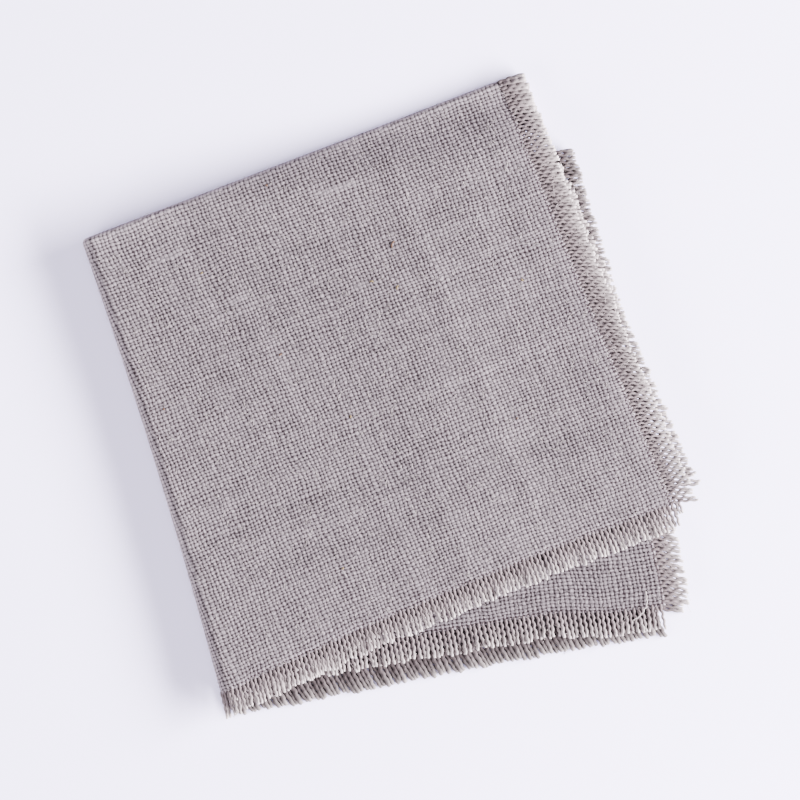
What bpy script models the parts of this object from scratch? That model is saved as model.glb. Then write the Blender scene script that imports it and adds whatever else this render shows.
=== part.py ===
"""A square linen napkin, frayed on its four sides and folded in quarters.

The napkin is one woven cloth. It is first folded in half along its upper edge, then in half again
along its left edge. The second fold runs a few degrees off the thread, so the upper pair of layers
lies turned against the lower pair. Each raw side is frayed into a fringe.

Lengths are in metres. Z is up, Y runs along the second fold, and the flat underside is at Z = 0.
The origin is the middle of the underside's outline.
"""

import math
import random
from collections import namedtuple

import bmesh
import bpy
from mathutils import Vector

MM = 0.001

# The woven cloth, as thick as its yarns where they cross, the spacing of its stacked layers and
# about how wide a folded layer is
THICKNESS = 1.2 * MM
LAYER_PITCH = 1.9 * MM
STACK_RISE = 3 * LAYER_PITCH
LAYER_WIDTH = 140 * MM

# Radii of the rounded folds, at the middle of the cloth: the hairpin of the first fold, and the
# outer half's wrap round the second fold
HALF_BEND = 0.5 * LAYER_PITCH
OUTER_WRAP = 1.5 * LAYER_PITCH

# The frayed sides
FRINGE_LENGTH = 7.6 * MM
STRIP_WIDTH = 1.3 * MM
STRIP_GAP = 0.35 * MM
LOCKS_PER_LAYER = 32
LOCK_ROOT_SHARE = 0.68
LOCK_TIP_SHARE = 0.4
LOCK_TIP_THICKNESS = 0.7 * MM
LOCK_STRAY = 0.5 * MM
LOCK_SHORTEST_SHARE = 0.88
# The lock on each half of the rounded second fold, from and to these steps
FOLD_LOCK = (0.25, 0.75)

# Springy swelling of the stack along the two folds, and soft waves across its face
SECOND_FOLD_SWELL = 0.9 * MM
FIRST_FOLD_SWELL = 0.45 * MM
SWELL_REACH = 17 * MM
WAVE_HEIGHT = 0.22 * MM
WAVE_ACROSS = 13 * MM
WAVE_DOWN = 17 * MM
WAVE_SLANT = 35 * MM

# Where the upper pair reaches past the lower pair, it comes down to the surface over this run
DROP_START = 1.5 * MM
DROP_RUN = 13 * MM
DROP_SHARE = 0.97

# The middle of the outline, measured from the corner where the folds meet
OUTLINE_MIDDLE = (80.02 * MM, -79.65 * MM)

# Corners of each layer's woven part, measured from the corner where the folds meet: the end of
# the first fold, the far corner and the end of the second fold. The bows are how far the side
# edge and the lower hem swing outwards (negative: inwards) halfway along. The lean is how far the
# hem's fringe is swept sideways for each unit of its length.
Layer = namedtuple("Layer", "fold_end far_corner crease_end side_bow hem_bow lean")
LAYERS = {
    # (upper pair, outer half): millimetres
    (True, True): Layer((138.3, 9.4), (150.6, -131.6), (-0.2, -146.9), -0.7, -1.2, 0.0),
    (True, False): Layer((138.3, 9.4), (153.0, -127.5), (0.0, -142.0), -0.5, -0.6, 0.0),
    (False, False): Layer((146.0, -16.2), (139.2, -161.0), (0.0, -142.0), 2.6, -0.8, 0.0),
    (False, True): Layer((146.0, -16.2), (136.6, -162.4), (-0.2, -146.9), 1.8, -0.5, 0.27),
}
CREASE_BOW = 1.5 * MM

# Mesh steps: across each rounded fold, and along each flat layer, closer beside the fold
FOLD_STEPS = 6
LAYER_STEPS = 15
STEP_GROWTH = 1.3

LINEN = ("linen", (0.49, 0.45, 0.47, 1.0), 0.92)
LINEN_FRINGE = ("linen_fringe", (0.56, 0.51, 0.53, 1.0), 0.94)


def clear_scene():
    for item in list(bpy.data.objects):
        bpy.data.objects.remove(item)


def smooth(share):
    share = min(max(share, 0.0), 1.0)
    return share * share * (3 - 2 * share)


def signed_distance(point, start, end):
    """How far a point lies to the left of the line from start to end."""
    along = (end - start).normalized()
    away = point - start
    return along.x * away.y - along.y * away.x


def corner(pair):
    return Vector((pair[0] * MM, pair[1] * MM))


def turn(step, radius):
    """One direction of the folded cloth, with step from 0 at a fold's outermost line to 1 where
    the rounded fold ends and 2 at the raw edge. Gives the length of cloth in the rounded fold, how
    far it reaches seen from above, and the share of the rise across the fold."""
    angle = min(step, 1) * math.pi / 2
    return radius * angle, radius * (1 - math.cos(angle)), math.sin(angle)


def stack_rise(x, y):
    """Height of the outermost layer's middle above the lowest one's, over a place on the napkin."""
    from_top_fold = max(0.0, -y)
    swell = SECOND_FOLD_SWELL * math.exp(-max(0.0, x) / SWELL_REACH)
    swell += FIRST_FOLD_SWELL * math.exp(-from_top_fold / SWELL_REACH)
    waves = 1 + math.sin(x / WAVE_ACROSS + y / WAVE_SLANT) * math.sin(y / WAVE_DOWN - x / WAVE_SLANT)
    return STACK_RISE + swell + WAVE_HEIGHT * waves


def overhang(x, y):
    """How far a place lies beyond the outline of the lower pair and its side fringe."""
    fold_end = corner(LAYERS[False, False].fold_end)
    far = corner(LAYERS[False, False].far_corner)
    fringe = Vector((FRINGE_LENGTH + STRIP_GAP + STRIP_WIDTH, 0))
    place = Vector((x, y))
    above = max(0.0, signed_distance(place, Vector((0, 0)), fold_end) - DROP_START)
    beside = max(0.0, signed_distance(place, fold_end + fringe, far + fringe) - DROP_START)
    return math.hypot(above, beside)


def cloth_point(across, down):
    """The middle surface of the cloth. Across runs from -2 at the upper pair's raw side, through
    0 on the second fold, to 2 at the lower pair's. Down runs from -2 at the inner half's raw hem,
    through 0 on the first fold, to 2 at the outer half's."""
    layer = LAYERS[across < 0, down > 0]
    fold_end, far, crease_end = map(corner, layer[:3])
    flat_across, flat_down = max(0.0, abs(across) - 1), max(0.0, abs(down) - 1)

    bend_length, bend_seen, half_share = turn(abs(down), HALF_BEND)
    half_rise = math.copysign(half_share, down)
    hem_share = bend_length + flat_down * (-crease_end.y - HALF_BEND)
    hem_share /= HALF_BEND * math.pi / 2 - crease_end.y - HALF_BEND

    wrap = LAYER_PITCH * (1 + 0.5 * half_rise)
    wrap_length, wrap_seen, pair_rise = turn(abs(across), wrap)
    side_share = wrap_length + flat_across * (fold_end.x - OUTER_WRAP)
    side_share /= wrap * math.pi / 2 + fold_end.x - OUTER_WRAP

    width = fold_end.x + hem_share * (far.x - crease_end.x - fold_end.x)
    x = hem_share * crease_end.x + OUTER_WRAP - wrap + wrap_seen
    x += flat_across * (width - OUTER_WRAP)
    bow = (1 - flat_across) * CREASE_BOW + flat_across * layer.side_bow * MM
    x += 4 * hem_share * (1 - hem_share) * bow

    depth = -crease_end.y - side_share * (far.y - fold_end.y - crease_end.y)
    y = side_share * fold_end.y - bend_seen - flat_down * (depth - HALF_BEND)
    y -= 4 * side_share * (1 - side_share) * flat_down * layer.hem_bow * MM

    level = (1.5 - math.copysign(pair_rise, across) * (1 + 0.5 * half_rise)) / 3
    z = THICKNESS / 2 + level * stack_rise(x, y)
    if across < 0:
        z -= DROP_SHARE * 2 / 3 * stack_rise(x, y) * pair_rise * smooth(overhang(x, y) / DROP_RUN)
    return Vector((x, y, z))


def cloth_faces(across, down, upper_share=1.0):
    """The outer and inner face of the cloth over one place. The upper share thins the fringe from
    above, so that its underside stays level on what it lies on."""
    nudge = 1e-4
    middle = cloth_point(across, down)
    along = cloth_point(across + nudge, down) - cloth_point(across - nudge, down)
    around = cloth_point(across, down + nudge) - cloth_point(across, down - nudge)
    outward = along.cross(around).normalized()
    outer_half = THICKNESS / 2 * (upper_share * 2 - 1 if outward.z > 0 else 1)
    inner_half = THICKNESS / 2 * (upper_share * 2 - 1 if outward.z < 0 else 1)
    faces = [middle + outward * outer_half, middle - outward * inner_half]
    for face in faces:
        face.x -= OUTLINE_MIDDLE[0]
        face.y -= OUTLINE_MIDDLE[1]
        face.z = max(face.z, 0.0)
    return faces


def fold_and_layer_steps():
    """Steps across both rounded folds' halves and the flat layers on either side, from -2 to 2."""
    rounded = [i / (FOLD_STEPS / 2) for i in range(-FOLD_STEPS // 2, FOLD_STEPS // 2 + 1)]
    flat = [1 + (i / LAYER_STEPS) ** STEP_GROWTH for i in range(1, LAYER_STEPS + 1)]
    return [-step for step in reversed(flat)] + rounded + flat


def finish(name, mesh, finish_row):
    material_name, colour, roughness = finish_row
    data = bpy.data.meshes.new(name)
    bmesh.ops.recalc_face_normals(mesh, faces=mesh.faces)
    mesh.to_mesh(data)
    mesh.free()
    data.shade_smooth()
    data.set_sharp_from_angle(angle=math.radians(50))
    material = bpy.data.materials.get(material_name) or bpy.data.materials.new(material_name)
    material.use_nodes = True
    shader = material.node_tree.nodes["Principled BSDF"]
    shader.inputs["Base Color"].default_value = colour
    shader.inputs["Roughness"].default_value = roughness
    shader.inputs["Metallic"].default_value = 0.0
    data.materials.append(material)
    item = bpy.data.objects.new(name, data)
    bpy.context.scene.collection.objects.link(item)
    return item


def woven_cloth():
    """The one woven sheet, closed round its four raw edges."""
    steps = fold_and_layer_steps()
    mesh = bmesh.new()
    grid = [[[mesh.verts.new(p) for p in cloth_faces(a, d)] for d in steps] for a in steps]
    last = len(steps) - 1
    for i in range(last):
        for j in range(last):
            for side in (0, 1):
                ring = (grid[i][j], grid[i + 1][j], grid[i + 1][j + 1], grid[i][j + 1])
                mesh.faces.new([vertex[side] for vertex in ring])
    for k in range(last):
        for first, second in (
            (grid[0][k], grid[0][k + 1]),
            (grid[last][k], grid[last][k + 1]),
            (grid[k][0], grid[k + 1][0]),
            (grid[k][last], grid[k + 1][last]),
        ):
            mesh.faces.new((first[0], second[0], second[1], first[1]))
    return finish("cloth", mesh, LINEN)


def side_steps(locks_on_fold):
    """Stretches along a raw side, as (start, end, carries a lock), from one corner of the napkin
    round the fold to the next corner."""
    pitch = 1 / LOCKS_PER_LAYER
    margin = pitch * (1 - LOCK_ROOT_SHARE) / 2
    flat = []
    for i in range(LOCKS_PER_LAYER):
        start = 1 + i * pitch
        end = start + pitch
        flat.append((start, start + margin, False))
        flat.append((start + margin, end - margin, True))
        flat.append((end - margin, end, False))
    near, far = FOLD_LOCK
    rounded = [(-1, -far, False), (-far, -near, locks_on_fold), (-near, near, False)]
    rounded += [(near, far, locks_on_fold), (far, 1, False)]
    return [(-end, -start, lock) for start, end, lock in reversed(flat)] + rounded + flat


def fringe(name, sign, side, locks_on_fold, draws):
    """One frayed side: a narrow strip of cloth along the raw edge, with its locks of loose yarn.
    A side runs along the first fold's ends, and a hem along the second fold's ends."""

    def faces(run, out, share=1.0):
        layer = LAYERS[(sign < 0) if side else (run < 0), (run > 0) if side else (sign > 0)]
        reach = layer.fold_end[0] * MM - OUTER_WRAP
        depth = -layer.crease_end[1] * MM - HALF_BEND
        if side:
            return cloth_faces(sign * (2 + out / reach), run, share)
        swept = run + layer.lean * max(0.0, out - STRIP_GAP - STRIP_WIDTH) / reach
        return cloth_faces(swept, sign * (2 + out / depth), share)

    mesh = bmesh.new()
    root = STRIP_GAP + STRIP_WIDTH
    stretches = side_steps(locks_on_fold)
    stations = [stretches[0][0]] + [end for _, end, _ in stretches]
    rings = []
    for run in stations:
        near, far = faces(run, STRIP_GAP), faces(run, root)
        rings.append([mesh.verts.new(p) for p in (near[0], far[0], far[1], near[1])])
    for (start, end, lock), first, second in zip(stretches, rings, rings[1:]):
        for k in range(4):
            if lock and k == 1:
                continue
            mesh.faces.new((first[k], first[(k + 1) % 4], second[(k + 1) % 4], second[k]))
        if not lock:
            continue
        ring = [first[1], second[1], second[2], first[2]]
        middle, half = (start + end) / 2, (end - start) / 2
        length = FRINGE_LENGTH * draws.uniform(LOCK_SHORTEST_SHARE, 1.0)
        stray = draws.uniform(-1, 1) * LOCK_STRAY / LAYER_WIDTH
        for out_share, width in ((0.5, (1 + LOCK_TIP_SHARE) / 2), (1.0, LOCK_TIP_SHARE)):
            thin = 1 - (1 - LOCK_TIP_THICKNESS / THICKNESS) * out_share
            out = root + (length - root) * out_share
            centre = middle + stray * out_share
            low, high = (faces(centre + end * half * width, out, thin) for end in (-1, 1))
            tip = [mesh.verts.new(p) for p in (low[0], high[0], high[1], low[1])]
            for k in range(4):
                mesh.faces.new((ring[k], ring[(k + 1) % 4], tip[(k + 1) % 4], tip[k]))
            ring = tip
        mesh.faces.new(ring)
    mesh.faces.new(rings[0])
    mesh.faces.new(rings[-1])
    return finish(name, mesh, LINEN_FRINGE)


def folded_napkin():
    draws = random.Random(5)
    woven_cloth()
    fringe("fringe_upper_side", -1, True, False, draws)
    fringe("fringe_lower_side", 1, True, False, draws)
    fringe("fringe_outer_hem", 1, False, True, draws)
    fringe("fringe_inner_hem", -1, False, False, draws)


clear_scene()
folded_napkin()
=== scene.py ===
"""A small linen napkin, frayed on its four sides and folded in quarters, lying on a pale table.

The cloth is shaped first, then its frayed sides, then what is loose on it, and last the table,
the light and the camera. Lengths are in metres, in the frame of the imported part: Z is up, Y runs
along the second fold, and the napkin rests on Z = 0.
"""

import math

import bpy
import numpy as np
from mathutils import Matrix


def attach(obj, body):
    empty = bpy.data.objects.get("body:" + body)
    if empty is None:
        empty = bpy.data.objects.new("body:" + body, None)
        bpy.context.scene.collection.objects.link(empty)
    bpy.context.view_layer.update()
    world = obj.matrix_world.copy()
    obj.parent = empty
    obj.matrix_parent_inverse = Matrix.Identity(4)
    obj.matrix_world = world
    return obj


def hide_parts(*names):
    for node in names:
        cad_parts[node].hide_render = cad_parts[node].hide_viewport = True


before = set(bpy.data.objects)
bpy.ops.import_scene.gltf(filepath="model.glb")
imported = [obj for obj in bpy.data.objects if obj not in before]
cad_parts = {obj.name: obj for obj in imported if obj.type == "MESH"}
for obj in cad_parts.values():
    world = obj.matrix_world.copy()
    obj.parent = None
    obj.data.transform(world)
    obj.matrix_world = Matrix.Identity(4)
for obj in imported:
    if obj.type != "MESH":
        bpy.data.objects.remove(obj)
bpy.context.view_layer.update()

# The cloth: one square of plain-weave flax, washed soft, with about eight yarns to the centimetre.
# It is folded in half along its upper edge and again along its left edge. The second fold runs off
# the thread, so the warp meets it at a slant and the upper two layers lie turned on the lower two.
MM = 0.001
THICKNESS = 1.05 * MM
LAYER_PITCH = 1.9 * MM
FLOOR_CLEARANCE = 0.6 * MM
HALF_BEND = 0.5 * LAYER_PITCH
OUTER_WRAP = 1.5 * LAYER_PITCH
OUTLINE_MIDDLE = np.array([80.02, -79.65, 0.0]) * MM

# Each layer's woven corners from the corner where the folds meet, in millimetres: the end of the
# first fold (x, y), the far corner (x, y), the end of the second fold (x, y), then how far the side
# and the hem bow outwards, and how far the hem's middle is drawn up. The rows are lower inner,
# lower outer, upper inner and upper outer.
LAYERS = MM * np.array([
    [146.0, -16.2, 139.2, -161.0, 0.0, -142.0, 2.6, 0.0, 3.1],
    [146.0, -16.2, 136.6, -162.4, -0.2, -146.9, 1.8, -0.5, 0.0],
    [138.3, 9.4, 153.0, -127.5, 0.0, -142.0, -0.5, -0.6, 0.0],
    [138.3, 9.4, 150.6, -131.6, -0.2, -146.9, -0.7, -1.2, 0.6],
])
CREASE_BOW = 1.5 * MM
FRINGE_LENGTH = 7.6 * MM
# How the stack springs up at the second and at the first fold, and how high its slow waves are
SECOND_SWELL, FIRST_SWELL, SWELL_REACH = 0.9 * MM, 0.45 * MM, 17 * MM
WAVE_HEIGHT = 0.22 * MM
# How the upper pair sinks where it hangs over the lower one: from how far past it, over what run,
# and by what share of its height
DROP_START, DROP_RUN, DROP_SHARE = 1.5 * MM, 19 * MM, 0.65

# The flat cloth inside its fringe, and where the folds cross it, measured from the upper outer
# layer's raw corner. The second fold starts at the first number on the first fold and reaches the
# hems at the second.
CLOTH_WIDTH, CLOTH_LENGTH = 0.2843, 0.288
SECOND_FOLD_U = (0.1383, 0.1552)
FIRST_FOLD_V = 0.1465
WARP_PITCH, WEFT_PITCH = 1.306 * MM, 1.135 * MM


def turn(step, radius):
    """Cloth length, reach seen from above and share of the rise, over a rounded fold."""
    angle = np.minimum(step, 1) * math.pi / 2
    return radius * angle, radius * (1 - np.cos(angle)), np.sin(angle)


def smooth(share):
    share = np.clip(share, 0, 1)
    return share * share * (3 - 2 * share)


def off_line(x, y, start, end):
    """How far places lie to the left of the line from start to end."""
    along = (end - start) / np.linalg.norm(end - start)
    return along[0] * (y - start[1]) - along[1] * (x - start[0])


def cloth_at(across, down):
    """Points on the middle of the folded cloth and their place on the flat cloth. Across runs from
    -2 at the upper pair's raw side, through 0 on the second fold, to 2 at the lower pair's. Down
    runs from -2 at the inner half's raw hem, through 0 on the first fold, to 2 at the outer's."""
    across, down = np.broadcast_arrays(np.asarray(across, float), np.asarray(down, float))
    row = LAYERS[2 * (across < 0) + (down > 0)]
    end_x, end_y, far_x, far_y, hem_x, hem_y, side_bow, hem_bow, hem_draw = np.moveaxis(row, -1, 0)
    flat_across, flat_down = np.maximum(0, abs(across) - 1), np.maximum(0, abs(down) - 1)
    bend_length, bend_seen, half_share = turn(abs(down), HALF_BEND)
    half_rise = np.copysign(half_share, down)
    hem_share = bend_length + flat_down * (-hem_y - HALF_BEND)
    hem_share = hem_share / (HALF_BEND * math.pi / 2 - hem_y - HALF_BEND)
    wrap = LAYER_PITCH * (1 + 0.5 * half_rise)
    wrap_length, wrap_seen, pair_rise = turn(abs(across), wrap)
    side_share = wrap_length + flat_across * (end_x - OUTER_WRAP)
    side_share = side_share / (wrap * math.pi / 2 + end_x - OUTER_WRAP)
    width = end_x + hem_share * (far_x - hem_x - end_x)
    x = hem_share * hem_x + OUTER_WRAP - wrap + wrap_seen + flat_across * (width - OUTER_WRAP)
    bow = (1 - flat_across) * CREASE_BOW + flat_across * side_bow
    x = x + 4 * hem_share * (1 - hem_share) * bow
    depth = -hem_y - side_share * (far_y - end_y - hem_y)
    y = side_share * end_y - bend_seen - flat_down * (depth - HALF_BEND)
    y = y - 4 * side_share * (1 - side_share) * flat_down * hem_bow
    y = y + hem_draw * flat_down ** 2 * smooth(side_share / 0.3) * smooth((0.92 - side_share) / 0.2)
    level = (1.5 - np.copysign(pair_rise, across) * (1 + 0.5 * half_rise)) / 3
    rise = stack_rise(x, y)
    fold_end, far = LAYERS[0, 0:2], LAYERS[0, 2:4]
    beside = np.array([FRINGE_LENGTH + DROP_START, 0])
    over = np.hypot(
        np.maximum(0, off_line(x, y, np.zeros(2), fold_end) - DROP_START),
        np.maximum(0, off_line(x, y, fold_end + beside, far + beside) - DROP_START),
    )
    drop = np.where(across < 0, DROP_SHARE * rise * pair_rise * smooth(over / DROP_RUN), 0)
    z = FLOOR_CLEARANCE + level * rise - drop + level * relief(x, y, across, down)
    crease_u = SECOND_FOLD_U[0] + (SECOND_FOLD_U[1] - SECOND_FOLD_U[0]) * hem_share
    u = np.where(across < 0, crease_u * (1 - side_share), crease_u + side_share * (CLOTH_WIDTH - crease_u))
    v = np.where(
        down > 0, FIRST_FOLD_V * (1 - hem_share), FIRST_FOLD_V + hem_share * (CLOTH_LENGTH - FIRST_FOLD_V)
    )
    return np.stack([x, y, z], -1) - OUTLINE_MIDDLE, np.stack([u, v], -1)


def stack_rise(x, y):
    """How far the top layer lies above the lowest: springy at the folds, and a little wavy."""
    swell = SECOND_SWELL * np.exp(-np.maximum(0, x) / SWELL_REACH)
    swell = swell + FIRST_SWELL * np.exp(-np.maximum(0, -y) / SWELL_REACH)
    waves = 1 + np.sin(x / (13 * MM) + y / (35 * MM)) * np.sin(y / (17 * MM) - x / (35 * MM))
    return 3 * LAYER_PITCH + swell + WAVE_HEIGHT * waves


# The main creases of the top layers, as soft ridges (positive) and troughs: from and to, in
# millimetres from the folded corner, then the half width and the height.
CREASES = (
    (96, -2, 108, -118, 3.5, 0.22),
    (121, 2, 131, -60, 2.5, -0.16),
    (24, -6, 40, -92, 3.0, 0.15),
    (8, -96, 146, -82, 4.5, -0.2),
    (14, -66, 118, -58, 5.0, 0.16),
    (52, -20, 128, -22, 4.0, -0.14),
    (60, -118, 148, -106, 4.0, 0.18),
)
CREASE_WANDER = 1.2 * MM
# The puckering, as three sets of ripples: how long they are and how they slant (radians), and
# their height, in millimetres
RIPPLES = ((5.1, 0.9, 0.035), (7.7, -0.6, 0.05), (11.3, 1.9, 0.06))
HEM_FLUTTER = 0.22 * MM


def relief(x, y, across, down):
    """Fine unevenness: the listed creases, a puckering where yarns are thicker, and hems that
    flutter a little."""
    high = np.zeros_like(x)
    for x0, y0, x1, y1, half, height in CREASES:
        start, end = np.array([x0, y0]) * MM, np.array([x1, y1]) * MM
        wander = CREASE_WANDER * np.sin((x + 1.7 * y) / (9 * MM) + x0)
        away = off_line(x, y, start, end) + wander
        run = ((x - start[0]) * (end - start)[0] + (y - start[1]) * (end - start)[1])
        run = run / np.dot(end - start, end - start)
        fade = smooth(run * 5 + 0.5) * smooth((1 - run) * 5 + 0.5)
        high = high + height * MM * fade * np.exp(-((away / (half * MM)) ** 2))
    for period, slant, height in RIPPLES:
        phase = (x * math.cos(slant) + y * math.sin(slant)) / (period * MM)
        other = (y * math.cos(slant) - x * math.sin(slant)) / (1.6 * period * MM)
        high = high + height * MM * np.sin(phase + 2 * np.sin(other))
    edge = np.maximum(smooth(6 * (abs(down) - 1.85)), smooth(6 * (abs(across) - 1.85)))
    flutter = np.sin((x + y) / (4.3 * MM)) * np.sin((x - 0.6 * y) / (7.9 * MM))
    return high + edge * HEM_FLUTTER * flutter


def outward_at(across, down):
    """The cloth's outer side, as a unit direction."""
    nudge = 2e-3
    along = cloth_at(across + nudge, down)[0] - cloth_at(across - nudge, down)[0]
    around = cloth_at(across, down + nudge)[0] - cloth_at(across, down - nudge)[0]
    outward = np.cross(along, around)
    return outward / np.linalg.norm(outward, axis=-1, keepdims=True)


def new_piece(name, points, faces, uv=None):
    """A shown mesh piece, riding on the one body, at the origin and unturned."""
    data = bpy.data.meshes.new(name)
    data.from_pydata(points.tolist(), [], faces)
    if uv is not None:
        layer = data.uv_layers.new(name="flat_cloth")
        corners = np.zeros(len(data.loops), dtype=np.int32)
        data.loops.foreach_get("vertex_index", corners)
        layer.data.foreach_set("uv", uv[corners].astype(np.float32).ravel())
    data.shade_smooth()
    piece = bpy.data.objects.new(name, data)
    bpy.context.scene.collection.objects.link(piece)
    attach(piece, "root")
    return piece


FOLD_STEPS, FLAT_STEPS = 13, 88
LEAST_HEIGHT = 0.05 * MM


def folded_sheet():
    """The closed thin sheet: an outer and an inner face joined round the four raw edges."""
    rounded = np.linspace(-1, 1, FOLD_STEPS)
    flat = 1 + np.linspace(0, 1, FLAT_STEPS)[1:]
    steps = np.concatenate([-flat[::-1], rounded, flat])
    across, down = np.meshgrid(steps, steps, indexing="ij")
    middle, flat_place = cloth_at(across, down)
    outward = outward_at(across, down)
    # Each face's points: the cloth is thinner at its raw edges, and stays off the table
    from_edge = np.minimum(2 - abs(across), 2 - abs(down))
    half = THICKNESS / 2 * (0.75 + 0.25 * smooth(from_edge / 0.03))[..., None]
    sides = [middle + sign * half * outward for sign in (1, -1)]
    points = np.concatenate([side.reshape(-1, 3) for side in sides])
    points[:, 2] = np.maximum(points[:, 2], LEAST_HEIGHT)
    count = len(steps)
    index = np.arange(count * count).reshape(count, count)
    quads = np.stack([index[:-1, :-1], index[1:, :-1], index[1:, 1:], index[:-1, 1:]], -1)
    faces = quads.reshape(-1, 4).tolist()
    faces += (quads[..., ::-1].reshape(-1, 4) + index.size).tolist()
    rim = np.concatenate([index[:-1, 0], index[-1, :-1], index[:0:-1, -1], index[0, :0:-1]])
    following = np.roll(rim, -1)
    faces += np.stack([rim, rim + index.size, following + index.size, following], -1).tolist()
    uv = np.concatenate([flat_place.reshape(-1, 2)] * 2)
    return new_piece("napkin_cloth", points, faces, uv)


cloth = folded_sheet()
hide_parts("cloth")


def linear(code):
    """An sRGB hex colour as linear values."""
    parts = [int(code[start:start + 2], 16) / 255 for start in (1, 3, 5)]
    return [part / 12.92 if part <= 0.04045 else ((part + 0.055) / 1.055) ** 2.4 for part in parts] + [1.0]


def add_node(tree, kind, settings=None, inputs=None):
    """A new node with its settings, and its sockets linked or set."""
    node = tree.nodes.new(kind)
    for name, value in (settings or {}).items():
        setattr(node, name, value)
    for socket, value in (inputs or {}).items():
        if isinstance(value, bpy.types.NodeSocket):
            tree.links.new(value, node.inputs[socket])
        else:
            node.inputs[socket].default_value = value
    return node


def new_material(name, roughness):
    """A new material, its tree and its shader. Washed flax has no surface shine."""
    material = bpy.data.materials.new(name)
    material.use_nodes = True
    tree = material.node_tree
    shader = tree.nodes["Principled BSDF"]
    shader.inputs["Roughness"].default_value = roughness
    shader.inputs["Specular IOR Level"].default_value = 0.0
    return material, tree, shader


# Bands of changed tone, as the photo shows them: from and to on the flat cloth (u from the
# raw side, v from the raw hem), the half width, all in millimetres, and how much paler they are.
# Most are uneven places in the weave. The pale ones on the corner's slope and along the two folds
# are painted light that makes up for light the slopes lose, and the wide dark one last darkens the
# lower pair's open part.
TONE_BANDS_AND_PAINTED_LIGHT = (
    (99.4, 122.2, 97.8, 80.1, 1.3, 0.20),
    (21.6, 118.6, 23.3, 63.8, 1.2, 0.18),
    (14.8, 141.4, 14.5, 112.4, 0.45, 0.45),
    (6.4, 138.1, 6.9, 117.1, 0.45, 0.40),
    (120.2, 44.2, 19.1, 29.7, 4.0, -0.12),
    (126.5, 28.6, 71.6, 23.6, 3.0, -0.12),
    (58.1, 61.6, 3.9, 60.9, 2.5, 0.12),
    (12.0, 54.0, 8.0, 38.0, 4.0, -0.15),
    (95.0, 115.0, 60.0, 45.0, 30.0, -0.07),
    (2.0, 131.5, 36.0, 137.5, 6.0, 0.17),
    (137.6, 150.0, 155.0, -4.0, 3.6, 0.60),
    (150.0, 146.0, -10.0, 146.0, 2.2, 0.40),
    (150.0, 146.0, -10.0, 146.0, 9.0, 0.16),
    (290.0, 288.0, 150.0, 288.0, 60.0, -0.20),
)
# Soft slubs, where one yarn swells until it closes the holes beside it: from, to and how much
SLUBS = (
    (66.0, 133.4, 53.8, 132.3, 1.2),
    (66.5, 101.5, 61.5, 101.5, 0.9),
    (104.0, 111.3, 98.0, 111.3, 0.9),
    (120.0, 131.6, 112.0, 131.6, 0.8),
)
SLUB_SPREAD, SLUB_SWELL = 0.75, 0.2
# Where the holes close or open along a line, and by how much: over the two folds the yarns are
# seen at a slant and hide the holes, and by the frayed sides the last yarns have slipped apart
SPACING = (
    (137.6, 150.0, 155.0, -4.0, 2.2, 0.14),
    (150.0, 146.0, -10.0, 146.0, 2.0, 0.14),
    (0.0, 150.0, 0.0, -4.0, 1.4, -0.07),
    (155.0, 0.0, -4.0, 0.0, 1.4, -0.07),
    (290.0, 288.0, 150.0, 288.0, 1.4, -0.07),
)
# How a streak ends: where it fades, as a share of its run, and how sharply
STREAK_REACH, STREAK_END = 0.55, 6.0
# How the yarns stray from an even grid: how far, and over what distance
DRIFT, DRIFT_OVER = 1.5 * MM, 16 * MM
JITTER, JITTER_OVER = 0.45 * MM, 2.6 * MM
BUNCHING, BUNCHING_OVER = 0.9 * MM, 6.5 * MM
# Half widths of the yarns and how much they differ, as shares of the pitch
WARP_HALF, WEFT_HALF, OWN_HALF, UNEVEN_HALF = 0.27, 0.275, 0.1, 0.2
# Heights in millimetres: of a yarn's round back, of its rise over a crossing, of the drop beside
# it, and of the holes' floor against the cloth's middle
YARN_BACK, YARN_RISE, YARN_SIDE, HOLE_FLOOR = 0.3, 0.24, 0.5, -0.3
# How long a yarn's thick places and its fibres run, and how many fibres lie across one pitch
THICK_THIN_RUN, FIBRE_RUN, FIBRES_ACROSS = 9 * MM, 0.7 * MM, 6.0
# Differences in brightness: between fibres, yarns, thick and thin places, crossings, warp and
# weft, and soft clouds, with the clouds' size and the darkest that they may make a place
FIBRE_TONE, YARN_TONE, UNEVEN_TONE, CROSSING_TONE, WARP_TONE = 2.1, 0.2, 0.12, 0.32, 0.16
CLOUD_TONE, CLOUD_SIZE, DARKEST = 0.12, 22 * MM, 0.15


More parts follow.
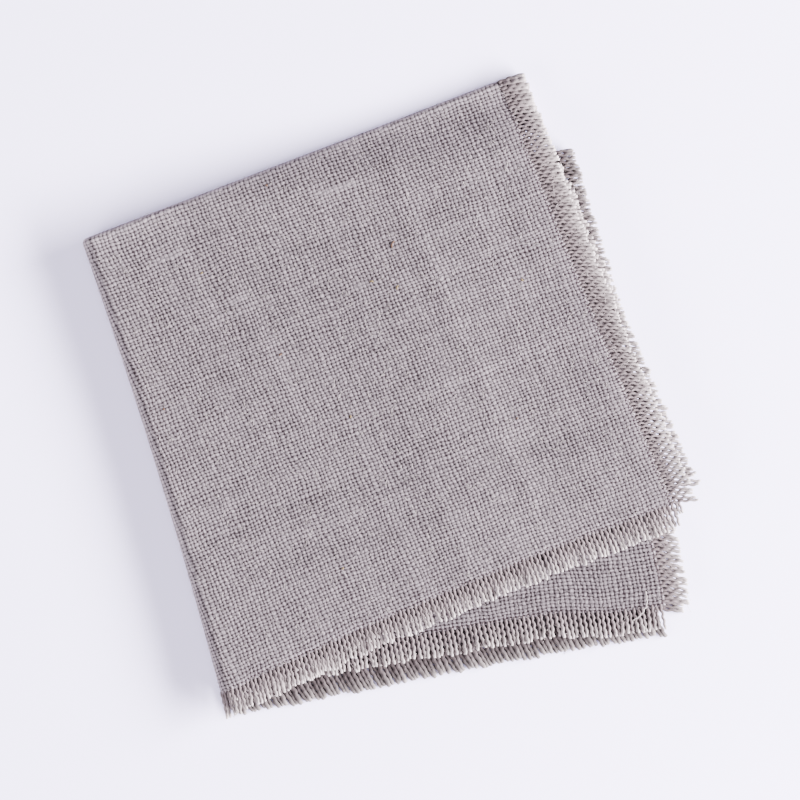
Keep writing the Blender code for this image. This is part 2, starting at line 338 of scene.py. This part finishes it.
def linen_weave(name):
    """Plain weave from the flat cloth's own coordinates: each warp and weft yarn is a rounded rib
    that rises over one crossing and dips under the next, and painted shade darkens the colour in the
    holes and down the yarns' sides."""
    material, tree, shader = new_material(name, 0.85)

    def calc(operation, *values):
        return add_node(tree, "ShaderNodeMath", {"operation": operation}, dict(enumerate(values))).outputs[0]

    def about_zero(value, gain):
        """A random value from 0 to 1, centred on 0 and scaled."""
        return calc("MULTIPLY", calc("SUBTRACT", value, 0.5), gain)

    def split(vector):
        return add_node(tree, "ShaderNodeSeparateXYZ", None, {0: vector}).outputs

    def noise_parts(vector, scale, detail):
        """Three independent soft noises over a plane."""
        sockets = {"Vector": vector, "Scale": scale, "Detail": detail}
        node = add_node(tree, "ShaderNodeTexNoise", {"noise_dimensions": "2D"}, sockets)
        return split(node.outputs[1])

    def random_of(value, seed):
        sockets = {"W": calc("ADD", value, seed)}
        return add_node(tree, "ShaderNodeTexWhiteNoise", {"noise_dimensions": "1D"}, sockets).outputs[0]

    def join(x, y):
        return add_node(tree, "ShaderNodeCombineXYZ", None, {0: x, 1: y}).outputs[0]

    def streak(start_u, start_v, end_u, end_v, spread):
        """1 along a line on the flat cloth, fading to 0 across it and past its ends."""
        run = math.hypot(end_u - start_u, end_v - start_v)
        way = ((end_u - start_u) / run, (end_v - start_v) / run)
        off_u = calc("DIVIDE", calc("SUBTRACT", u, (start_u + end_u) / 2 * MM), MM)
        off_v = calc("DIVIDE", calc("SUBTRACT", v, (start_v + end_v) / 2 * MM), MM)

        def share_of(reach, weight_u, weight_v):
            part_u = calc("MULTIPLY", off_u, weight_u / reach)
            return calc("ADD", part_u, calc("MULTIPLY", off_v, weight_v / reach))

        aside = share_of(spread, way[1], -way[0])
        beyond = calc("POWER", calc("ABSOLUTE", share_of(run * STREAK_REACH, *way)), STREAK_END)
        away = calc("ADD", calc("MULTIPLY", aside, aside), beyond)
        return calc("EXPONENT", calc("MULTIPLY", away, -1.0))

    flat_place = add_node(tree, "ShaderNodeUVMap", {"uv_map": "flat_cloth"}).outputs[0]
    u, v = split(flat_place)[:2]

    # Yarns wander by part of a pitch, and lie closer together in some bands than in others
    drift = noise_parts(flat_place, 1 / DRIFT_OVER, 2.0)
    jitter = noise_parts(flat_place, 1 / JITTER_OVER, 0.0)
    moved = []
    for axis, place in enumerate((u, v)):
        sockets = {"W": calc("ADD", place, 0.37 * (axis + 1)), "Scale": 1 / BUNCHING_OVER, "Detail": 2.0}
        bunched = add_node(tree, "ShaderNodeTexNoise", {"noise_dimensions": "1D"}, sockets).outputs[0]
        far, near = about_zero(drift[axis], DRIFT), about_zero(jitter[axis], JITTER)
        moved.append(calc("ADD", calc("ADD", place, far), calc("ADD", near, about_zero(bunched, BUNCHING))))
    across_warp, across_weft = calc("DIVIDE", moved[0], WARP_PITCH), calc("DIVIDE", moved[1], WEFT_PITCH)
    warp, weft = calc("FLOOR", across_warp), calc("FLOOR", across_weft)
    warp_off = calc("SUBTRACT", calc("SUBTRACT", across_warp, warp), 0.5)
    weft_off = calc("SUBTRACT", calc("SUBTRACT", across_weft, weft), 0.5)
    odd = calc("FLOORED_MODULO", calc("ADD", warp, weft), 2.0)
    warp_over = calc("SUBTRACT", 1.0, calc("MULTIPLY", odd, 2.0))

    swollen = 0.0
    for *line, swell in SLUBS:
        here = streak(*line, SLUB_SPREAD)
        swollen = calc("ADD", swollen, calc("MULTIPLY", here, SLUB_SWELL * swell))
    for *line, spread, swell in SPACING:
        swollen = calc("ADD", swollen, calc("MULTIPLY", streak(*line, spread), swell))

    def yarn(index, off, other_off, along, over, half_width, seed):
        """Height of one set of yarns above the cloth's middle in millimetres, and their tone. The
        index is stretched so that neighbours differ, and the seed shifts again for the tone."""
        own_line = join(calc("MULTIPLY", index, 7.31), calc("DIVIDE", along, THICK_THIN_RUN))
        uneven = calc("SUBTRACT", noise_parts(own_line, 1.0, 2.0)[0], 0.5)
        half = calc("ADD", calc("MULTIPLY", random_of(index, seed), OWN_HALF), half_width)
        half = calc("ADD", calc("ADD", half, calc("MULTIPLY", uneven, UNEVEN_HALF)), swollen)
        share = calc("DIVIDE", off, half)
        inside = calc("SUBTRACT", 1.0, calc("MULTIPLY", share, share))
        back = calc("MULTIPLY", calc("SQRT", calc("MAXIMUM", inside, 0.0)), YARN_BACK)
        rise = calc("MULTIPLY", calc("COSINE", calc("MULTIPLY", other_off, math.pi)), over)
        height = calc("ADD", calc("MULTIPLY", rise, YARN_RISE), back)
        height = calc("SUBTRACT", height, calc("MULTIPLY", calc("LESS_THAN", inside, 0.0), YARN_SIDE))
        strand = calc("ADD", calc("MULTIPLY", off, FIBRES_ACROSS), index)
        fibre = noise_parts(join(strand, calc("DIVIDE", along, FIBRE_RUN)), 1.0, 2.0)
        tone = about_zero(random_of(index, seed + 40.5), YARN_TONE)
        tone = calc("ADD", tone, about_zero(fibre[0], FIBRE_TONE))
        return height, calc("ADD", tone, calc("MULTIPLY", uneven, UNEVEN_TONE))

    warp_high, warp_tone = yarn(warp, warp_off, weft_off, v, warp_over, WARP_HALF, 3.5)
    weft_over = calc("MULTIPLY", warp_over, -1.0)
    weft_high, weft_tone = yarn(weft, weft_off, warp_off, u, weft_over, WEFT_HALF, 311.5)
    warp_seen = calc("GREATER_THAN", warp_high, weft_high)
    high = calc("MAXIMUM", calc("MAXIMUM", warp_high, weft_high), HOLE_FLOOR)
    tone = add_node(tree, "ShaderNodeMix", None, {0: warp_seen, 2: weft_tone, 3: warp_tone}).outputs[0]

    crossing = add_node(tree, "ShaderNodeTexWhiteNoise", {"noise_dimensions": "2D"}, {0: join(warp, weft)})
    tone = calc("ADD", tone, about_zero(crossing.outputs[0], CROSSING_TONE))
    tone = calc("ADD", tone, about_zero(warp_seen, WARP_TONE))
    # The bands: tone of the weave, with painted light along the folds and on the corner's slope
    for *line, spread, gain in TONE_BANDS_AND_PAINTED_LIGHT:
        tone = calc("ADD", tone, calc("MULTIPLY", streak(*line, spread), gain))
    cloud = noise_parts(flat_place, 1 / CLOUD_SIZE, 3.0)[2]
    tone = calc("ADD", tone, about_zero(cloud, CLOUD_TONE))
    light = calc("MAXIMUM", calc("ADD", tone, 1.0), DARKEST)

    # Painted shade from the bottom of the holes to the crowns of the yarns: darkest in the holes and
    # down the yarns' sides, lightest on the crowns
    depth = add_node(
        tree, "ShaderNodeMapRange", {"interpolation_type": "SMOOTHSTEP"},
        {0: high, 1: -0.2, 2: 0.52, 3: 0.0, 4: 1.0},
    ).outputs[0]
    ramp = add_node(tree, "ShaderNodeValToRGB", None, {0: depth})
    ramp.color_ramp.elements[0].color = linear("#1E181B")
    ramp.color_ramp.elements[1].color = linear("#665D63")
    for position, code in ((0.3, "#2B2428"), (0.47, "#3B3438"), (0.72, "#443E42")):
        ramp.color_ramp.elements.new(position).color = linear(code)
    sockets = {0: ramp.outputs[0], "Scale": light}
    shaded = add_node(tree, "ShaderNodeVectorMath", {"operation": "SCALE"}, sockets)
    tree.links.new(shaded.outputs[0], shader.inputs["Base Color"])
    raised = calc("MULTIPLY", high, MM)
    bump = add_node(tree, "ShaderNodeBump", None, {"Strength": 0.28, "Distance": 1.0, "Height": raised})
    tree.links.new(bump.outputs[0], shader.inputs["Normal"])
    return material


# Washed flax in a warm grey with a little lilac
cloth.data.materials.append(linen_weave("washed grey linen, plain weave"))

# The frayed sides: on each of the four raw sides the crossing yarns were pulled out, which leaves
# the cloth's own yarns free for about 7.5 mm. They keep the zigzag of the weave, and cling together
# in small locks. One piece is made for each raw side, where the cloth shows it as two layers.
rng = np.random.default_rng(7)
YARN_STEPS = 20
YARN_SIDES = 5
FREE_LENGTH, ROOT_IN_CLOTH = 7.4 * MM, 0.8 * MM
CRIMP_ASIDE, CRIMP_UP = 0.27 * MM, 0.14 * MM
# How much the yarns and locks stray: in place as a share of the pitch, in length as a share of
# it, and in lean and curl in millimetres
PLACE_STRAY, YARN_LENGTH_STRAY, LOCK_LENGTH_STRAY = 0.05, 0.035, 0.03
LOCK_LEAN_STRAY, YARN_LEAN_STRAY, CURL_STRAY = 0.14, 0.12, 0.2
HAIRS_PER_YARN, HAIR_STEPS, HAIR_RADIUS = 5, 6, 0.04 * MM


def tubes(paths, radii, sides):
    """Round yarns with closed ends along paths (yarn, step, xyz), as points and faces."""
    along = np.gradient(paths, axis=1)
    along /= np.linalg.norm(along, axis=-1, keepdims=True)
    side = np.cross(along, [0.0, 0.0, 1.0]) + 1e-6
    side /= np.linalg.norm(side, axis=-1, keepdims=True)
    top = np.cross(side, along)
    angles = np.arange(sides) * 2 * math.pi / sides
    ring = np.cos(angles)[:, None] * side[:, :, None] + np.sin(angles)[:, None] * top[:, :, None]
    points = paths[:, :, None] + radii[:, :, None, None] * ring
    count, steps = paths.shape[:2]
    index = np.arange(count * steps * sides).reshape(count, steps, sides)
    turned = np.roll(index, -1, axis=2)
    quads = np.stack([index[:, :-1], turned[:, :-1], turned[:, 1:], index[:, 1:]], -1)
    faces = quads[..., ::-1].reshape(-1, 4).tolist()
    faces += index[:, 0].tolist() + index[:, -1, ::-1].tolist()
    return points.reshape(-1, 3), faces


def edge_places(edge, flat_places):
    """Roots of the yarns along one raw side of the flat cloth, with the direction along the edge,
    the direction out of it, the cloth's outward side, and the roots' steps along the folded edge.
    Places are distances on the flat cloth."""
    is_side = edge.endswith("side")
    sign = -1 if edge in ("upper_side", "inner_hem") else 1

    def on_edge(steps, near):
        fixed = np.full_like(steps, near * sign)
        return (fixed, steps) if is_side else (steps, fixed)

    steps = np.linspace(-2, 2, 2001)
    flat = cloth_at(*on_edge(steps, 2.0))[1][:, 1 if is_side else 0]
    order = np.argsort(flat)
    steps = np.interp(flat_places, flat[order], steps[order])
    inside = on_edge(steps, 1.98)
    root = cloth_at(*on_edge(steps, 2.0))[0]
    outward = outward_at(*inside)
    out = root - cloth_at(*inside)[0]
    out /= np.linalg.norm(out, axis=-1, keepdims=True)
    return root, np.cross(outward, out), out, outward, steps


def stray_hairs(paths, along, out):
    """Loose fibres that stand off the free yarns."""
    count = len(paths)
    picked = rng.integers(0, count, HAIRS_PER_YARN * count)
    hairs = len(picked)
    start = rng.integers(4, YARN_STEPS - 2, hairs)
    away = rng.normal(0, 0.8, (hairs, 1)) * along[picked]
    away = away + rng.uniform(0.1, 1, (hairs, 1)) * out[picked]
    away[:, 2] += rng.normal(0.05, 0.25, hairs)
    share = np.linspace(0, 1, HAIR_STEPS)[None, :, None]
    hair = away[:, None] * share * rng.uniform(0.5, 1.9, (hairs, 1, 1)) * MM
    hair = paths[picked, start][:, None] + hair
    hair = hair + rng.normal(0, 0.25, (hairs, 1, 3)) * MM * share ** 2
    hair[..., 2] = np.maximum(hair[..., 2], 1.5 * HAIR_RADIUS)
    return tubes(hair, np.full(hair.shape[:2], HAIR_RADIUS), 3)


def fringe(name, edge, pitch, crossing, lean_way, leans, shades, fullness, painted_fold_shade=0.0, closed=0.0):
    """One raw side's free yarns. Leans say how far the tips lean in lean_way, as shares of the
    length, from the inner half's corner through the fold to the outer half's. Shades are the
    brightness of the yarns, from 0 to 1, in the lowest and the top layer, where a darker lowest
    layer is painted shade from the layers above, and fullness their radius there as a share of the
    pitch. Next to the fold, dull takes that much off their brightness as painted shade, painted
    light where it is negative, and closed thickens them by that share."""
    whole = CLOTH_LENGTH if edge.endswith("side") else CLOTH_WIDTH
    places = np.arange(0.6 * pitch, whole - 0.4 * pitch, pitch)
    places = places + rng.normal(0, PLACE_STRAY * pitch, len(places))
    root, along, out, outward, steps = edge_places(edge, places)
    count = len(places)

    # Locks of two or three yarns that lean together, and places that grow along the edge or
    # against it
    lock = np.repeat(np.arange(count), rng.integers(2, 4, count))[:count]
    middle = np.array([places[lock == number].mean() for number in range(lock[-1] + 1)])
    pull = (middle[lock] - places) * rng.uniform(0.0, 0.4, count)
    sense = np.sign(np.sum(np.gradient(root, axis=0) * along, axis=1))
    lock_lean = rng.normal(0, LOCK_LEAN_STRAY, count)[lock] * MM
    lean = lock_lean + rng.normal(0, YARN_LEAN_STRAY, count) * MM
    own_length = rng.normal(1, YARN_LENGTH_STRAY, count)
    reach = FREE_LENGTH * (own_length + rng.normal(0, LOCK_LENGTH_STRAY, count)[lock])
    swept = np.interp(steps, [-2, -1.5, -1.1, 0, 1.1, 1.5, 2], leans) * reach
    swept = swept[:, None, None] * np.array(lean_way)

    # Each yarn's path, with the zigzag that the weave pressed into it
    share = np.linspace(0, 1, YARN_STEPS)[None, :]
    travel = share * (reach[:, None] + ROOT_IN_CLOTH) - ROOT_IN_CLOTH
    parity = np.where(np.arange(count) % 2 == 0, 0, math.pi)[:, None]
    zigzag = travel * math.pi / crossing + parity + rng.normal(0, 0.15, count)[:, None]
    free = np.clip(travel / reach[:, None], 0, 1)
    aside = sense[:, None] * pull[:, None] * smooth((free - 0.4) / 0.6) + lean[:, None] * free ** 2
    aside = aside + CRIMP_ASIDE * np.sin(zigzag + 1.2) * smooth(free * 8) * (1 - 0.6 * free)
    curl = rng.normal(0, CURL_STRAY, count)[:, None] * MM * free ** 2 * np.sin(3 * free)
    tip_lift = rng.normal(0.1, 0.3, count)[:, None] * MM * free ** 2
    lift = 0.08 * MM + CRIMP_UP * np.cos(zigzag) * (1 - 0.35 * free) + tip_lift
    paths = root[:, None] + travel[..., None] * out[:, None] + (aside + curl)[..., None] * along[:, None]
    paths = paths + lift[..., None] * outward[:, None] + swept * free[..., None] ** 1.2

    level = np.clip(root[:, 2] / (3 * LAYER_PITCH), 0, 1)
    by_fold = smooth(2.2 - 1.4 * abs(steps))
    full = fullness[0] + (fullness[1] - fullness[0]) * level
    thick = (rng.uniform(0.9, 1.15, count) * full * pitch)[:, None] * (1 + 0.06 * free - 0.3 * free ** 12)
    thick = thick * (1 + closed * by_fold[:, None] * smooth(2.5 * free))
    paths[..., 2] = np.maximum(paths[..., 2], thick)
    points, faces = tubes(paths, thick, YARN_SIDES)
    # Yarns lower in the stack are darker: painted shade from the layers above
    shade = shades[0] + (shades[1] - shades[0]) * level + rng.uniform(-0.2, 0.2, count)
    # Next to the fold: painted shade, and painted light where the value is negative
    shade = shade - painted_fold_shade * by_fold
    parts = np.broadcast_arrays(shade[:, None, None], free[..., None], np.zeros(YARN_SIDES))
    uv = np.stack(parts[:2], -1).reshape(-1, 2)

    hair_points, hair_faces = stray_hairs(paths, along, out)
    faces += [[corner + len(points) for corner in face] for face in hair_faces]
    hair_uv = np.tile([0.9, 1.0], (len(hair_points), 1))
    piece = new_piece(name, np.concatenate([points, hair_points]), faces, np.concatenate([uv, hair_uv]))
    piece.data.materials.append(fringe_material)
    return piece


def loose_yarn(name):
    """The same flax, paler where the yarn is open at its tip. The flat_cloth map holds each yarn's
    brightness, with the painted shade of the lower layers and by the fold, and how far along it is."""
    material, tree, shader = new_material(name, 0.8)
    along = add_node(tree, "ShaderNodeUVMap", {"uv_map": "flat_cloth"}).outputs[0]
    parts = add_node(tree, "ShaderNodeSeparateXYZ", None, {0: along}).outputs
    tips = add_node(tree, "ShaderNodeValToRGB", None, {0: parts[1]})
    tips.color_ramp.elements[0].color = linear("#554B4E")
    tips.color_ramp.elements[1].color = linear("#9A8F91")
    for position, code in ((0.45, "#5D5356"), (0.85, "#796F71")):
        tips.color_ramp.elements.new(position).color = linear(code)
    # Each yarn's brightness, which holds painted shade for the lower layers and next to the fold
    own = add_node(tree, "ShaderNodeMapRange", None, {0: parts[0], 3: 0.45, 4: 1.2}).outputs[0]
    body = add_node(tree, "ShaderNodeTexCoord").outputs["Object"]
    fibres = {"Vector": body, "Scale": 1 / (0.7 * MM), "Detail": 2.0}
    fibres = add_node(tree, "ShaderNodeTexNoise", None, fibres).outputs[0]
    speck = add_node(tree, "ShaderNodeMapRange", None, {0: fibres, 1: 0.25, 2: 0.75, 3: 0.72, 4: 1.15})
    both = {0: own, 1: speck.outputs[0]}
    both = add_node(tree, "ShaderNodeMath", {"operation": "MULTIPLY"}, both).outputs[0]
    sockets = {0: tips.outputs[0], "Scale": both}
    shaded = add_node(tree, "ShaderNodeVectorMath", {"operation": "SCALE"}, sockets)
    tree.links.new(shaded.outputs[0], shader.inputs["Base Color"])
    return material


# Flax yarn with open, paler ends
fringe_material = loose_yarn("washed grey linen, free yarns")

# Next to the fold these yarns get a little painted light against the dark at their roots
upper_side = fringe(
    "napkin_fringe_upper_side", "upper_side", WEFT_PITCH, WARP_PITCH, (0, -1, 0),
    leans=(0.3, 0.4, 0.2, 0.05, 0.2, 0.4, 0.3),
    shades=(0.2, 0.8), fullness=(0.72, 0.39), painted_fold_shade=-0.2, closed=0.3,
)
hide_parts("fringe_upper_side")
# Next to the first fold these yarns get painted shade under the upper pair's overhang
lower_side = fringe(
    "napkin_fringe_lower_side", "lower_side", WEFT_PITCH, WARP_PITCH, (0, -1, 0),
    leans=(0.3, 0.3, 0.1, 0.0, 0.1, 0.3, 0.3),
    shades=(0.75, 1.0), fullness=(0.45, 0.45), painted_fold_shade=0.75,
)
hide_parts("fringe_lower_side")
outer_hem = fringe(
    "napkin_fringe_outer_hem", "outer_hem", WARP_PITCH, WEFT_PITCH, (1, 0, 0),
    leans=(0.0, 0.0, 0.0, 0.0, 0.28, 0.28, 0.28),
    shades=(0.0, 0.85), fullness=(0.6, 0.37),
)
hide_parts("fringe_outer_hem")
inner_hem = fringe(
    "napkin_fringe_inner_hem", "inner_hem", WARP_PITCH, WEFT_PITCH, (1, 0, 0),
    leans=(0.0, 0.0, 0.0, 0.0, 0.0, 0.0, 0.0),
    shades=(0.85, 0.85), fullness=(0.36, 0.36),
)
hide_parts("fringe_inner_hem")

# What is loose on the cloth: short flax fibres that washing raised, bits of brown and straw left
# from the plant's stem, and one pale thread that lies over the lower hem near its corner.
RAISED_FIBRES, FIBRE_STEPS, FIBRE_RADIUS = 3600, 7, 0.036 * MM
BIT_STEPS, BIT_SIDES = 6, 5
BIT_RADIUS = 0.3 * MM
BIT_COLOURS = {"brown": "#4D3B33", "straw": "#5C4E3A"}
# Each bit: its colour, then across, down, length in millimetres and heading in degrees
BITS = (
    ("brown", -1.635, 1.245, 1.9, 250),
    ("brown", -1.640, 1.240, 1.3, 215),
    ("brown", -1.317, 1.377, 1.2, 200),
    ("brown", -1.415, 1.025, 0.9, 130),
    ("brown", -1.032, 1.390, 0.8, 280),
    ("brown", -1.760, 1.700, 0.7, 20),
    ("straw", -1.565, 1.302, 1.3, 160),
    ("straw", -1.613, 1.335, 1.7, 240),
    ("straw", -1.420, 1.560, 1.0, 75),
    ("straw", -1.210, 1.150, 0.9, 10),
    ("straw", -1.880, 1.420, 1.1, 300),
    ("straw", -1.300, 1.860, 1.0, 30),
)
# The thread's places: x, y and the height above the lower layers' top, in millimetres
LOOSE_THREAD = (
    (54.5, -75.4, 0.15), (54.4, -77.2, 0.35), (53.7, -79.6, 0.5), (52.0, -81.2, 0.5),
    (50.0, -82.4, 0.45), (48.0, -82.9, 0.3),
)
THREAD_RADIUS = 0.11 * MM


def lying_on(across, down, lift):
    """Places just above the cloth's outer side."""
    return cloth_at(across, down)[0] + (THICKNESS / 2 + lift * MM) * outward_at(across, down)


def raised_fibres(count):
    """Curly fibres that stand a little off the two layers that show, and off both folds."""
    top = rng.uniform(0, 1, count) < 0.8
    across = np.where(top, rng.uniform(-2, -0.97, count), rng.uniform(1.0, 2, count))
    down = np.where(top, rng.uniform(0.97, 2, count), rng.uniform(-2, -1.3, count))
    # The few that fall just past the top layer's flat part move out to the crest of the fold there
    across = across * (1 - 0.97 * (across > -1) * top)
    down = down * (1 - 0.97 * (down < 1) * top)
    root = lying_on(across, down, 0.0)
    outward = outward_at(across, down)
    heading = rng.uniform(0, 2 * math.pi, count)
    way = np.stack([np.cos(heading), np.sin(heading), 0 * heading], -1)
    way = way - outward * np.sum(way * outward, -1, keepdims=True)
    other = np.cross(outward, way)
    length = rng.gamma(3.0, 0.45, count)[:, None] * MM
    share = np.linspace(0, 1, FIBRE_STEPS)[None, :]
    angle = share * rng.normal(0, 1.9, count)[:, None]
    ahead = np.cumsum(np.cos(angle), 1) / FIBRE_STEPS * length
    aside = np.cumsum(np.sin(angle), 1) / FIBRE_STEPS * length
    lift = rng.uniform(0.05, 0.5, count)[:, None] * MM * np.sin(share * math.pi * 0.8)
    paths = root[:, None] + ahead[..., None] * way[:, None] + aside[..., None] * other[:, None]
    paths = paths + lift[..., None] * outward[:, None]
    paths[..., 2] = np.maximum(paths[..., 2], 0.08 * MM)
    return tubes(paths, np.full(paths.shape[:2], FIBRE_RADIUS), 3)


def pale_thread(name, places, radius):
    """A fine thread through places that are given as in LOOSE_THREAD, smoothed and a little wavy."""
    given = np.array(places)
    steps = np.linspace(0, len(places) - 1, 40)
    path = np.stack([np.interp(steps, np.arange(len(places)), given[:, axis]) for axis in range(3)], -1)
    for _ in range(3):
        path[1:-1] = (path[:-2] + 2 * path[1:-1] + path[2:]) / 4
    path[:, :2] += 0.12 * np.stack([np.sin(steps * 9), np.cos(steps * 7)], -1)
    base = lying_on(np.float64(1.96), np.float64(-1.98), 0.0)[2]
    path = path * MM + np.array([0, 0, base])
    points, faces = tubes(path[None], np.full((1, len(steps)), radius), 5)
    thread = new_piece(name, points, faces, np.tile([1.0, 1.0], (len(points), 1)))
    thread.data.materials.append(fringe_material)


fibre_points, fibre_faces = raised_fibres(RAISED_FIBRES)
fibre_uv = np.tile([0.75, 1.0], (len(fibre_points), 1))
fibres = new_piece("napkin_raised_fibres", fibre_points, fibre_faces, fibre_uv)
fibres.data.materials.append(fringe_material)

paths, widths = [], []
for _, across, down, length, heading in BITS:
    share = np.linspace(-0.5, 0.5, BIT_STEPS)
    turned = math.radians(heading) + share * 0.9
    path = np.stack([np.cos(turned), np.sin(turned), 0 * share], -1) * (share * length * MM)[:, None]
    paths.append(lying_on(np.float64(across), np.float64(down), 0.1) + path)
    widths.append(BIT_RADIUS * (1 - (2 * share) ** 2 * 0.8))
bit_points, bit_faces = tubes(np.array(paths), np.array(widths), BIT_SIDES)
bits = new_piece("napkin_plant_bits", bit_points, bit_faces)
for colour, code in BIT_COLOURS.items():
    # Dark stem of the flax, or its pale straw
    stem, _, stem_shader = new_material(f"flax stem, {colour}", 0.8)
    stem_shader.inputs["Base Color"].default_value = linear(code)
    bits.data.materials.append(stem)
# The faces come as every bit's sides, then one end of every bit, then the other end
sides_each = (BIT_STEPS - 1) * BIT_SIDES
all_sides = sides_each * len(BITS)
for number, polygon in enumerate(bits.data.polygons):
    owner = number // sides_each if number < all_sides else (number - all_sides) % len(BITS)
    polygon.material_index = list(BIT_COLOURS).index(BITS[owner][0])

pale_thread("napkin_loose_thread", LOOSE_THREAD, THREAD_RADIUS)

# The table: a plain pale board, larger than the picture
TABLE_SIZE = 3.0
bpy.ops.mesh.primitive_plane_add(size=TABLE_SIZE, location=(0, 0, 0))
table_top = bpy.context.object
table_top.name = "table"
# Matt white laminate
laminate = bpy.data.materials.new("matt white table")
laminate.use_nodes = True
laminate_shader = laminate.node_tree.nodes["Principled BSDF"]
laminate_shader.inputs["Base Color"].default_value = linear("#E3DAFF")
laminate_shader.inputs["Roughness"].default_value = 0.9
laminate_shader.inputs["Specular IOR Level"].default_value = 0.1
table_top.data.materials.append(laminate)

# The light: two long low boxes at the picture's right and left, a wide soft one overhead, and a
# room that is faintly blue. PICTURE_TURN is how far the picture's right lies off the x axis.
PICTURE_TURN = math.radians(-17.15)
ROOM_COLOUR, ROOM_STRENGTH = "#F4F3FF", 0.42
picture_right = np.array([math.cos(PICTURE_TURN), math.sin(PICTURE_TURN), 0.0])
picture_up = np.array([-math.sin(PICTURE_TURN), math.cos(PICTURE_TURN), 0.0])


def soft_box(name, place, size, power):
    """A rectangular light at (right, up, high) in the picture's directions, facing the napkin. The
    place and size are in metres and the power in watts."""
    data = bpy.data.lights.new(name, "AREA")
    data.shape = "RECTANGLE"
    data.size, data.size_y = size
    data.energy = power
    lamp = bpy.data.objects.new(name, data)
    bpy.context.scene.collection.objects.link(lamp)
    lamp.location = (place[0] * picture_right + place[1] * picture_up + [0, 0, place[2]]).tolist()
    lamp.rotation_euler = lamp.location.to_track_quat("Z", "Y").to_euler()


soft_box("light right", (1.27, -0.12, 0.4), (1.6, 0.34), 425)
soft_box("light left", (-1.0, -0.7, 0.42), (1.2, 0.4), 56)
soft_box("light above", (0.0, 0.01, 1.8), (1.6, 1.6), 20)
world = bpy.data.worlds.new("room")
world.use_nodes = True
world.node_tree.nodes["Background"].inputs["Color"].default_value = linear(ROOM_COLOUR)
world.node_tree.nodes["Background"].inputs["Strength"].default_value = ROOM_STRENGTH
bpy.context.scene.world = world

# The camera: straight above, turned so that the napkin lies as in the photo
CAMERA_HEIGHT = 1.2
PICTURE_WIDTH = 0.2488
PICTURE_CENTRE = (-0.0008, 0.0038)
camera_data = bpy.data.cameras.new("camera")
camera_data.lens = camera_data.sensor_width * CAMERA_HEIGHT / PICTURE_WIDTH
camera_data.clip_end = 10
camera = bpy.data.objects.new("camera", camera_data)
bpy.context.scene.collection.objects.link(camera)
camera.location = (*PICTURE_CENTRE, CAMERA_HEIGHT)
camera.rotation_euler = (0, 0, PICTURE_TURN)
bpy.context.scene.camera = camera
